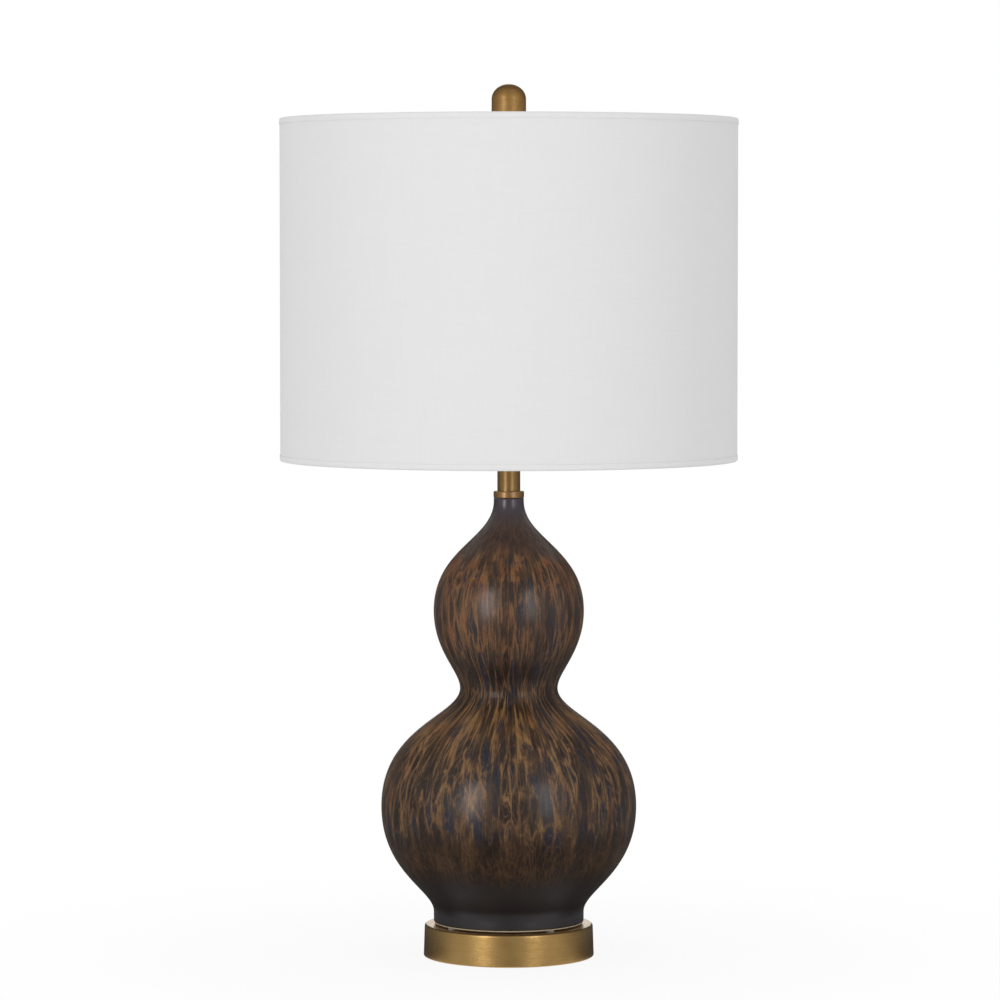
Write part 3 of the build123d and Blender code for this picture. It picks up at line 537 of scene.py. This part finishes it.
def makeGlaze(name, look, underside):
    material, tree, shader = newMaterial(name)
    bands, masks, top = look["bands"], look["masks"], look["top"]
    spot = place(tree, turned, {"Around": 1.0, "Along": 0.0})
    height = times(tree, spot["Height"], 1 / mm)
    bent = wrapGlaze(tree, look, spot["Vector"], height)
    marks = {}
    for mark, (around, along, *texture) in look["marks"].items():
        vector = place(tree, turned, {"Around": around, "Along": along})["Vector"]
        marks[mark] = cloudy(tree, vector, *texture)
    streaks = marks["streaks"]
    patches = cloudy(tree, bent, *look["patches"])
    inputs = {"Vector": bent, "Scale": 1 / look["cell"], "Randomness": 0.95}
    edge = put(tree, "TexVoronoi", inputs, feature="DISTANCE_TO_EDGE").outputs["Distance"]
    cells = put(tree, "TexVoronoi", {**inputs, "Smoothness": 0.3}, feature="SMOOTH_F1").outputs
    inputs["Scale"] = look["fineCells"] / look["cell"]
    fineEdge = put(tree, "TexVoronoi", inputs, feature="DISTANCE_TO_EDGE").outputs["Distance"]

    # height with a ragged edge: share says how much of the drip counts
    drip = centred(tree, marks["fingers"], 2 * look["drip"])

    def ragged(share):
        return add(tree, height, times(tree, drip, share))

    width = lookUp(tree, ragged(1.0), look["width"], top)
    depth = lookUp(tree, ragged(1.0), look["depth"], top)

    # brown ground with dark cells in it, some of them blue-black
    ground = weigh(tree, streaks, 0.7, marks["fine"], 0.3)
    color = tones(tree, add(tree, ground, centred(tree, patches, 0.4)), look["ground"])
    chance = put(tree, "SeparateColor", {0: cells["Color"]}).outputs
    reach = add(tree, look["cellReach"], add(tree, centred(tree, chance[0], 0.5), centred(tree, streaks, -0.5)))
    inCell = invert(tree, span(tree, calc(tree, "DIVIDE", cells["Distance"], reach), *masks["cell"]))
    blue = span(tree, chance[1], *masks["blue"])
    tint = blendColors(tree, blue, paint(*look["dark"]), paint(*look["blueBlack"]))
    color = blendColors(tree, times(tree, inCell, depth), color, tint)
    # the ground darkened and lightened by height: partly the glaze's own tone, partly painted shade at the
    # waist and under the bellies and painted light on the lower gourd's upper shoulder
    color = dimBy(tree, color, lookUp(tree, height, look["groundToneAndShade"], top))

    # amber runs between the cells, gathered into broad stripes on the upper gourd
    gathered = times(tree, centred(tree, marks["broad"], look["gather"]), span(tree, height, *bands["stripes"]))
    uneven = add(tree, add(tree, 1.0, gathered), centred(tree, streaks, 1.6))
    wide = times(tree, width, uneven, clamp=True)
    vein = span(tree, edge, times(tree, wide, 0.25), add(tree, times(tree, wide, 1.5), 0.03))
    fineVein = invert(tree, span(tree, fineEdge, 0.02, add(tree, wide, 0.06)))
    vein = calc(tree, "MAXIMUM", invert(tree, vein), times(tree, fineVein, look["fineStrength"]))
    strength = span(tree, add(tree, patches, centred(tree, streaks, 0.8)), *masks["patchy"])
    amberShare = times(tree, times(tree, vein, strength), span(tree, width, *masks["runs"]), clamp=True)
    amber = tones(tree, add(tree, streaks, centred(tree, patches, 0.5)), look["amber"])
    rusty = times(tree, span(tree, chance[2], *masks["rust"]), span(tree, height, *bands["rusty"], 0.3, 1.0))
    amber = blendColors(tree, rusty, amber, paint(*look["rust"]))
    upper = span(tree, height, *bands["upperAmber"], 0.0, 0.5)
    amber = blendColors(tree, upper, amber, paint(*look["upperAmber"]))
    color = blendColors(tree, amberShare, color, amber)
    color = dimBy(tree, color, span(tree, marks["grit"], *masks["grit"]))

    # speckled band under the runs, with thin runs that hang into it, and the dark foot below
    speckles = add(tree, marks["speckles"], centred(tree, marks["clusters"], 0.6))
    speckled = tones(tree, speckles, look["speckled"])
    thin = invert(tree, span(tree, fineEdge, *masks["thread"]))
    hanging = times(tree, span(tree, ragged(0.7), *bands["hanging"]), span(tree, patches, *masks["hanging"]))
    speckled = blendColors(tree, times(tree, thin, hanging), speckled, paint(*look["thread"]))
    color = blendColors(tree, span(tree, ragged(1.0), *bands["speckled"]), speckled, color)
    color = blendColors(tree, span(tree, ragged(0.35), *bands["foot"]), paint(*look["foot"]), color)
    footSheen = span(tree, height, *bands["footSheen"], 1.0, 0.0)
    color = blendColors(tree, footSheen, color, paint(*look["footSheen"]))

    # dark shoulder, plum neck, and bare clay at the rim of the foot
    shoulder = tones(tree, weigh(tree, marks["mottle"], 0.75, streaks, 0.25), look["shoulder"])
    color = blendColors(tree, span(tree, ragged(0.5), *bands["shoulder"]), color, shoulder)
    color = blendColors(tree, span(tree, height, *bands["plum"]), color, paint(*look["plum"]))
    rim = underside / mm + look["rimHeight"]
    bare = invert(tree, span(tree, height, rim - 0.1, rim + 0.1))
    color = blendColors(tree, bare, color, paint(*look["clay"]))

    # the runs stand a little proud, over a faint orange peel
    smooth = span(tree, height, *bands["smooth"])
    patterned = times(tree, span(tree, height, *bands["raised"]), invert(tree, smooth))
    relief = weigh(tree, amberShare, 0.5, marks["fine"], 0.6)
    bump = bumped(tree, weigh(tree, relief, patterned, marks["peel"], 0.25), 0.6, look["relief"])
    rough = add(tree, span(tree, amberShare, 0.0, 1.0, -0.02, 0.06), look["roughness"])
    feed(
        tree, shader, Base_Color=color, Normal=bump, Coat_Normal=bump,
        Roughness=add(tree, rough, times(tree, bare, 0.4)),
        Metallic=span(tree, height, *bands["lustre"], 0.0, look["lustre"]),
        Coat_Weight=times(tree, lookUp(tree, height, look["gloss"], top), invert(tree, bare)),
        Coat_Roughness=0.26, Coat_IOR=1.58, Specular_IOR_Level=0.12,
        Sheen_Weight=0.04, Sheen_Roughness=0.35, Sheen_Tint=(1.0, 0.88, 0.76, 1),
    )
    return material


materials = {name: makeMetal(name, finish) for name, finish in metals.items()}
materials.update({name: makeSolid(name, finish) for name, finish in solids.items()})
materials.update({name: makeGlass(name, finish) for name, finish in glasses.items()})
materials["shade_cloth"] = makeCloth("shade_cloth", clothLook)
materials["reactive_glaze"] = makeGlaze("reactive_glaze", glazeLook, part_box("gourd_body")[0].z)
print("materials ready")


def coat(piece, finish):
    piece.data.materials.clear()
    piece.data.materials.append(materials[finish])


# Every carried-over piece takes the finish of its slot in the record, or a closer match of its own: the neck
# tube and collar take darker brass, partly painted shade beneath the lampshade
ownFinish = {"neck_tube": "shaded_drawn_brass", "neck_cap": "shaded_collar_brass", "finial": "finial_brass"}
for row in frame["record"]["subparts"]:
    coat(nodes[row["node"]], ownFinish.get(row["node"], row["material_slot"]))
print("frame dressed")


# Pieces made here ride on their body and stand in for one carried-over piece
def dress(piece, slotName, body, node):
    coat(piece, slotName)
    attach(piece, body)
    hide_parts(node)


def newPiece(mesh, name):
    data = bpy.data.meshes.new(name)
    mesh.to_mesh(data)
    mesh.free()
    piece = bpy.data.objects.new(name, data)
    bpy.context.scene.collection.objects.link(piece)
    return piece


def finishMesh(mesh, name, sharpAngle=35):
    bmesh.ops.recalc_face_normals(mesh, faces=mesh.faces)
    piece = newPiece(mesh, name)
    piece.data.shade_smooth()
    piece.data.set_sharp_from_angle(angle=radians(sharpAngle))
    return piece


# Meshes turned about the lamp's axis from an outline of (radius, height) points, in millimetres above a
# base that is in metres. The relief gives how far each point moves outward.
def turn(name, outline, base, count, relief, closed=True):
    mesh = bmesh.new()
    rings = []
    for radius, height in outline:
        z = base + height * mm
        if radius == 0:
            rings.append([mesh.verts.new((0, 0, z))])
            continue
        ring = []
        for step in range(count):
            angle = 2 * pi * step / count
            reach = radius * mm + relief(angle, radius, height) * mm
            ring.append(mesh.verts.new((reach * cos(angle), reach * sin(angle), z)))
        rings.append(ring)
    pairs = list(zip(rings, rings[1:])) + ([(rings[-1], rings[0])] if closed else [])
    for lower, upper in pairs:
        for step in range(count):
            following = (step + 1) % count
            corners = [lower[step % len(lower)], lower[following % len(lower)]]
            corners += [upper[following % len(upper)], upper[step % len(upper)]]
            corners = list(dict.fromkeys(corners))
            if len(corners) > 2:
                mesh.faces.new(corners)
    return finishMesh(mesh, name)


# Ceramic body, in millimetres above its underside
gourd = dict(
    # upright stations of (radius, height, bend radius)
    outside=[
        (12.5, 352.0, 30.0), (62.5, 260.7, 80.6), (40.6, 196.1, 13.0), (106.2, 97.0, 103.3), (62.5, 8.9, 12.0),
    ],
    inside=[
        (9.2, 352.0, 33.3), (56.0, 260.7, 74.1), (34.1, 196.1, 19.5), (99.7, 97.0, 96.8), (56.0, 8.9, 18.5),
    ],
    foot=[
        (62.5, 7.0), (62.5, 4.5), (62.5, 2.4), (62.46, 1.7), (62.3, 1.35), (62.15, 1.2), (62.12, 1.0),
        (61.9, 0.35), (61.5, 0.05), (61.2, 0.0), (58.0, 0.0), (52.0, 0.0), (51.6, 0.1), (51.5, 0.4),
        (51.5, 2.5), (5.3, 2.5), (5.3, 8.0), (56.0, 8.0),
    ],
    mouth=[
        (9.2, 354.2), (9.4, 354.6), (9.8, 354.7), (11.6, 354.7), (12.2, 354.55), (12.5, 354.1), (12.5, 353.0),
    ],
    steps=62,
    innerSteps=14,
    around=256,
    waver=0.18,  # unevenness left by the casting and the glaze
    waverFrom=6,  # its lowest and highest point, and the radius that it starts at
    waverTo=345,
    waverRadius=15,
    waverScale=30,
    waverDraw=0.6,  # how far it is drawn out upward
)


def uprightCurve(stations, steps):
    points = []
    for (radius, height, bend), (nextRadius, nextHeight, nextBend) in zip(stations, stations[1:]):
        spread = abs(nextRadius - radius)
        start, end = Vector((radius, height)), Vector((nextRadius, nextHeight))
        startHandle = start - Vector((0, sqrt(bend * spread * 2 / 3)))
        endHandle = end + Vector((0, sqrt(nextBend * spread * 2 / 3)))
        points += [tuple(p) for p in interpolate_bezier(start, startHandle, endHandle, end, steps)][:-1]
    return points + [tuple(stations[-1][:2])]


def makeGourd(shape):
    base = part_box("gourd_body")[0].z
    outline = uprightCurve(shape["outside"], shape["steps"]) + shape["foot"]
    outline += uprightCurve(shape["inside"], shape["innerSteps"])[::-1] + shape["mouth"]

    def relief(angle, radius, height):
        if not shape["waverFrom"] <= height <= shape["waverTo"] or radius < shape["waverRadius"]:
            return 0
        z = (base + height * mm) * shape["waverDraw"]
        where = Vector((cos(angle) * radius * mm, sin(angle) * radius * mm, z))
        return noise.noise(where * shape["waverScale"]) * shape["waver"]

    piece = turn("gourdGlazed", outline, base, shape["around"], relief)
    dress(piece, "reactive_glaze", "stand", "gourd_body")


makeGourd(gourd)
print("gourd ready")


# Cloth of the shade: one strip glued round the liner, whose end laps over its beginning down the back
shadeCloth = dict(
    thickness=0.3,
    face=189.55,  # radius of its outer face
    lap=10.0,
    climb=14.0,  # length over which the end rises on to the beginning
    risen=2.0,  # length at the climb's end that lies flat already
    clear=0.03,  # between the end and the beginning
    columns=460,
    lapColumns=24,
    rows=20,
    waver=0.04,
    waves=(2, 9),  # how often it wavers round the shade and up it
    cut=(1.198, 0.281),  # metres
)


def makeShadeCloth(shape):
    low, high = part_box("shade_fabric")
    face, thickness, rows = shape["face"], shape["thickness"], shape["rows"]
    plain = 2 * pi * face - shape["climb"]
    lapped = shape["climb"] + shape["lap"]
    distances = [plain * step / shape["columns"] for step in range(shape["columns"])]
    distances += [plain + lapped * step / shape["lapColumns"] for step in range(shape["lapColumns"] + 1)]
    wavesAround, wavesUp = shape["waves"]
    mesh = bmesh.new()
    grid = []
    for distance in distances:
        angle = pi / 2 - shape["lap"] / 2 / face + distance / face
        rise = min(max((distance - plain) / (shape["climb"] - shape["risen"]), 0), 1)
        lift = (3 * rise**2 - 2 * rise**3) * (thickness + shape["clear"])
        column = []
        for depth in (0, thickness):
            for row in range(rows + 1):
                height = low.z + (high.z - low.z) * row / rows
                where = Vector((cos(angle) * wavesAround, sin(angle) * wavesAround, height * wavesUp))
                radius = (face - depth + lift + noise.noise(where) * shape["waver"]) * mm
                column.append(mesh.verts.new((cos(angle) * radius, sin(angle) * radius, height)))
        grid.append(column)
    count = rows + 1
    for left, right in zip(grid, grid[1:]):
        for row in range(rows):
            inner = count + row
            mesh.faces.new((left[row], right[row], right[row + 1], left[row + 1]))
            mesh.faces.new((left[inner], left[inner + 1], right[inner + 1], right[inner]))
        for row in (0, rows):
            mesh.faces.new((left[row], left[count + row], right[count + row], right[row]))
    for column in (grid[0], grid[-1]):
        for row in range(rows):
            mesh.faces.new((column[row], column[row + 1], column[count + row + 1], column[count + row]))
    piece = finishMesh(mesh, "shadeCloth")
    dress(piece, "shade_cloth", "shade", "shade_fabric")


# Tape folded over each edge of the shade
trimTape = dict(
    thickness=0.3,
    bore=183.95,  # radius of its inner face
    outerWidth=5.0,
    innerWidth=7.0,
    fold=1.8,  # rounding of its folded corners
    bendSteps=4,
    around=360,
    waver=0.03,  # how unevenly its cut edges lie
    waves=9,
    waverFrom=3,  # depth below the shade's edge
    apart=200,  # makes its inner and its outer edge waver differently
    cut=(0.018, 1.2),  # metres
)


def tapeOutline(outer, tape):
    # (radius, depth below the shade's edge)
    thickness, fold, bore, steps = tape["thickness"], tape["fold"], tape["bore"], tape["bendSteps"]
    half, within = thickness / 2, fold - thickness
    corners = [
        (outer - fold, fold, fold, 0, 90), (bore + fold, fold, fold, 90, 180),
        (bore + half, tape["innerWidth"] - half, half, 180, 360),
        (bore + fold, fold, within, 180, 90), (outer - fold, fold, within, 90, 0),
        (outer - half, tape["outerWidth"] - half, half, 180, 360),
    ]
    points = []
    for radius, depth, bend, start, end in corners:
        for step in range(steps + 1):
            angle = radians(start + (end - start) * step / steps)
            points.append((radius + bend * cos(angle), depth - bend * sin(angle)))
    return points


def makeTrim(name, node, edgeUp, tape):
    low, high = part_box(node)
    edge, inward = (high.z, -1) if edgeUp else (low.z, 1)
    outline = [(radius, inward * depth) for radius, depth in tapeOutline(high.x / mm, tape)]

    def relief(angle, radius, height):
        if abs(height) < tape["waverFrom"]:
            return 0
        waves = tape["waves"]
        where = Vector((cos(angle) * waves, sin(angle) * waves, radius * mm * tape["apart"] + edge))
        return -abs(noise.noise(where)) * tape["waver"]

    piece = turn(name, outline, edge, tape["around"], relief)
    dress(piece, "shade_cloth", "shade", node)


makeShadeCloth(shadeCloth)
makeTrim("trimTop", "shade_top_trim", True, trimTape)
makeTrim("trimBottom", "shade_bottom_trim", False, trimTape)
print("shade cloth ready")


# Felt under the base, cut a little unevenly
feltPad = dict(
    radius=67.4,
    edge=0.5,  # rounding of its cut edge
    edgeShare=0.3,  # where the rounding's middle point lies
    rings=(20, 45),
    around=180,
    waver=0.25,
    waves=6,
    waverRadius=60,
    shrunk=0.1,  # how far it keeps inside its radius
    cut=(0.135, 0.135),  # metres
    area=0.0143,
)


def makeFelt(shape):
    low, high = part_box("base_felt")
    thick, edge, radius = (high.z - low.z) / mm, shape["edge"], shape["radius"]
    middle = edge * shape["edgeShare"]
    outline = [(0, 0), *((ring, 0) for ring in shape["rings"])]
    outline += [(radius - edge, 0), (radius - middle, middle), (radius, edge)]
    outline += [(ring, thick - height) for ring, height in reversed(outline)]

    def relief(angle, ring, height):
        if ring < shape["waverRadius"]:
            return 0
        where = Vector((cos(angle) * shape["waves"], sin(angle) * shape["waves"], 0))
        return noise.noise(where) * shape["waver"] - shape["shrunk"]

    piece = turn("feltPad", outline, low.z, shape["around"], relief, closed=False)
    dress(piece, "black_felt", "stand", "base_felt")


makeFelt(feltPad)
print("felt ready")


# Pressed thread of the bulb's cap, in millimetres above its lower edge
capThread = dict(pitch=3.63, depth=0.8, wall=0.4, start=1.6, end=16.5, fade=2.0, around=96, rows=80)


def makeBulbCap(thread):
    low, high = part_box("bulb_cap")
    tall, radius = (high.z - low.z) / mm, high.x / mm
    heights = [tall * row / thread["rows"] for row in range(thread["rows"] + 1)]
    outline = [(radius, height) for height in heights]
    outline += [(radius - thread["wall"], height) for height in reversed(heights)]

    def relief(angle, ring, height):
        within = min(height - thread["start"], thread["end"] - height)
        share = max(min(within / thread["fade"], 1), 0)
        wave = 0.5 - 0.5 * cos(2 * pi * height / thread["pitch"] - angle)
        return -wave * share * thread["depth"]

    piece = turn("bulbCapThreaded", outline, low.z, thread["around"], relief)
    dress(piece, "bulb_aluminium", "bulb", "bulb_cap")


makeBulbCap(capThread)
print("bulb cap ready")


# Studio: pale floor and white surround, a tall soft box on each side of the camera, and dark cards that
# only reflections see, so that the light stays even while the glaze and the brass keep their depth
studio = dict(
    ambient=(0.69, 0.78),  # light from the front and from behind
    boxes=[
        dict(name="boxLeft", azimuth=-34, distance=2.6, height=0.75, width=0.62, tall=1.9, level=0.23),
        dict(name="boxRight", azimuth=34.5, distance=2.6, height=0.75, width=0.5, tall=1.9, level=0.14),
    ],
    aim=0.45,  # height that the boxes point at
    floorColor=(240, 240, 240),
    floorRadius=90,
    floorSides=96,
    floorGlow=(0.9, 1.0),  # how white the floor shows beside the lamp and away from it
    floorClear=(0.06, 0.6),  # and the distances between which it changes
    cardColor=(20, 20, 20),
    cardRadius=5.2,
    cardHeight=4.2,
    cardLift=0.001,  # above the floor
    cardColumns=60,
    opening=8,  # half the angle left open behind the lamp, in degrees
    # brightness of the cards by their angle from the camera's side, in degrees
    cards=[(0, 0.32), (20, 0.42), (50, 0.54), (72, 0.46), (95, 0.3), (120, 0.15), (150, 0.07)],
    skirtRadius=0.0712,  # where the dark floor that reflections see begins
    skirtDim=0.8,  # how far it dims beside the base
    skirtClear=(0.08, 0.3),  # distances from the axis between which that wears off
    skirtSides=(0.9, 1.5),  # angles from the camera's side over which it comes in, in radians
)


def makeBox(box, aim):
    distance, angle = box["distance"], radians(box["azimuth"])
    data = bpy.data.lights.new(box["name"], "AREA")
    data.shape = "RECTANGLE"
    data.size, data.size_y = box["width"], box["tall"]
    data.energy = box["level"] * pi**2 * distance**2  # watts for the same level at any distance
    lamp = bpy.data.objects.new(box["name"], data)
    lamp.location = (sin(angle) * distance, -cos(angle) * distance, box["height"])
    toward = Vector((0, 0, min(box["height"], aim))) - lamp.location
    lamp.rotation_euler = toward.to_track_quat("-Z", "Y").to_euler()
    lamp.visible_camera = False
    bpy.context.scene.collection.objects.link(lamp)


def seenDirectly(tree):
    # 1 for a ray from the camera, off a mirror or through glass
    path = put(tree, "LightPath").outputs
    both = calc(tree, "MAXIMUM", path["Is Camera Ray"], path["Is Glossy Ray"])
    return calc(tree, "MAXIMUM", both, path["Is Transmission Ray"])


def makeWorld(settings):
    world = bpy.data.worlds.new("surround")
    world.use_nodes = True
    bpy.context.scene.world = world
    tree = world.node_tree
    backward = put(tree, "SeparateXYZ", {0: put(tree, "TexCoord").outputs["Generated"]}).outputs[1]
    soft = span(tree, backward, -1.0, 1.0, *settings["ambient"])
    strength = span(tree, seenDirectly(tree), 0.0, 1.0, soft, 1.0)
    feed(tree, tree.nodes["Background"], Color=(1, 1, 1, 1), Strength=strength)


def makeFloor(settings):
    mesh = bmesh.new()
    sides, reach = settings["floorSides"], settings["floorRadius"]
    bmesh.ops.create_circle(mesh, cap_ends=True, segments=sides, radius=reach)
    floor = newPiece(mesh, "floor")
    material, tree, shader = newMaterial("paleFloor")
    feed(tree, shader, Base_Color=paint(*settings["floorColor"]), Roughness=0.9, Specular_IOR_Level=0.1)
    glow = put(tree, "Emission", {"Color": (1, 1, 1, 1), "Strength": 1.0})
    where = put(tree, "TexCoord").outputs["Object"]
    radius = put(tree, "VectorMath", {0: where}, operation="LENGTH").outputs["Value"]
    white = span(tree, radius, *settings["floorClear"], *settings["floorGlow"])
    share = times(tree, seenDirectly(tree), white)
    mix = put(tree, "MixShader", {0: share, 1: shader.outputs[0], 2: glow.outputs[0]})
    tree.links.new(mix.outputs[0], tree.nodes["Material Output"].inputs[0])
    floor.data.materials.append(material)


def makeCards(settings):
    mesh = bmesh.new()
    count, radius, lift = settings["cardColumns"], settings["cardRadius"], settings["cardLift"]
    start, end = radians(settings["opening"] - 270), radians(90 - settings["opening"])
    columns = []
    for step in range(count + 1):
        angle = start + (end - start) * step / count
        x, y = cos(angle) * radius, sin(angle) * radius
        columns.append([mesh.verts.new((x, y, z)) for z in (lift, settings["cardHeight"])])
    for left, right in zip(columns, columns[1:]):
        mesh.faces.new((left[0], right[0], right[1], left[1]))
    mesh.faces.new([top for _, top in columns])
    share = settings["skirtRadius"] / radius
    skirt = [mesh.verts.new((foot.co.x * share, foot.co.y * share, lift)) for foot, _ in columns]
    for index in range(count):
        mesh.faces.new((skirt[index], skirt[index + 1], columns[index + 1][0], columns[index][0]))
    cards = newPiece(mesh, "darkCards")
    cards.visible_camera = False
    cards.visible_diffuse = False
    cards.visible_shadow = False
    cards.visible_transmission = False
    material, tree, shader = newMaterial("darkCard")
    where = put(tree, "TexCoord").outputs["Object"]
    parts = put(tree, "SeparateXYZ", {0: where}).outputs
    azimuth = calc(tree, "ABSOLUTE", calc(tree, "ARCTAN2", parts[0], times(tree, parts[1], -1.0)))
    glow = lookUp(tree, times(tree, azimuth, 180 / pi), settings["cards"], 180)
    # the dark floor dims towards the sides of the base
    distance = put(tree, "VectorMath", {0: where}, operation="LENGTH").outputs["Value"]
    beside = span(tree, distance, *settings["skirtClear"], settings["skirtDim"], 0.0)
    dimmed = times(tree, beside, span(tree, azimuth, *settings["skirtSides"]))
    feed(
        tree, shader, Base_Color=paint(*settings["cardColor"]), Roughness=1.0, Specular_IOR_Level=0.0,
        Emission_Color=(1, 1, 1, 1), Emission_Strength=times(tree, glow, invert(tree, dimmed)),
    )
    cards.data.materials.append(material)


for box in studio["boxes"]:
    makeBox(box, studio["aim"])
makeWorld(studio)
makeFloor(studio)
makeCards(studio)
print("studio ready")
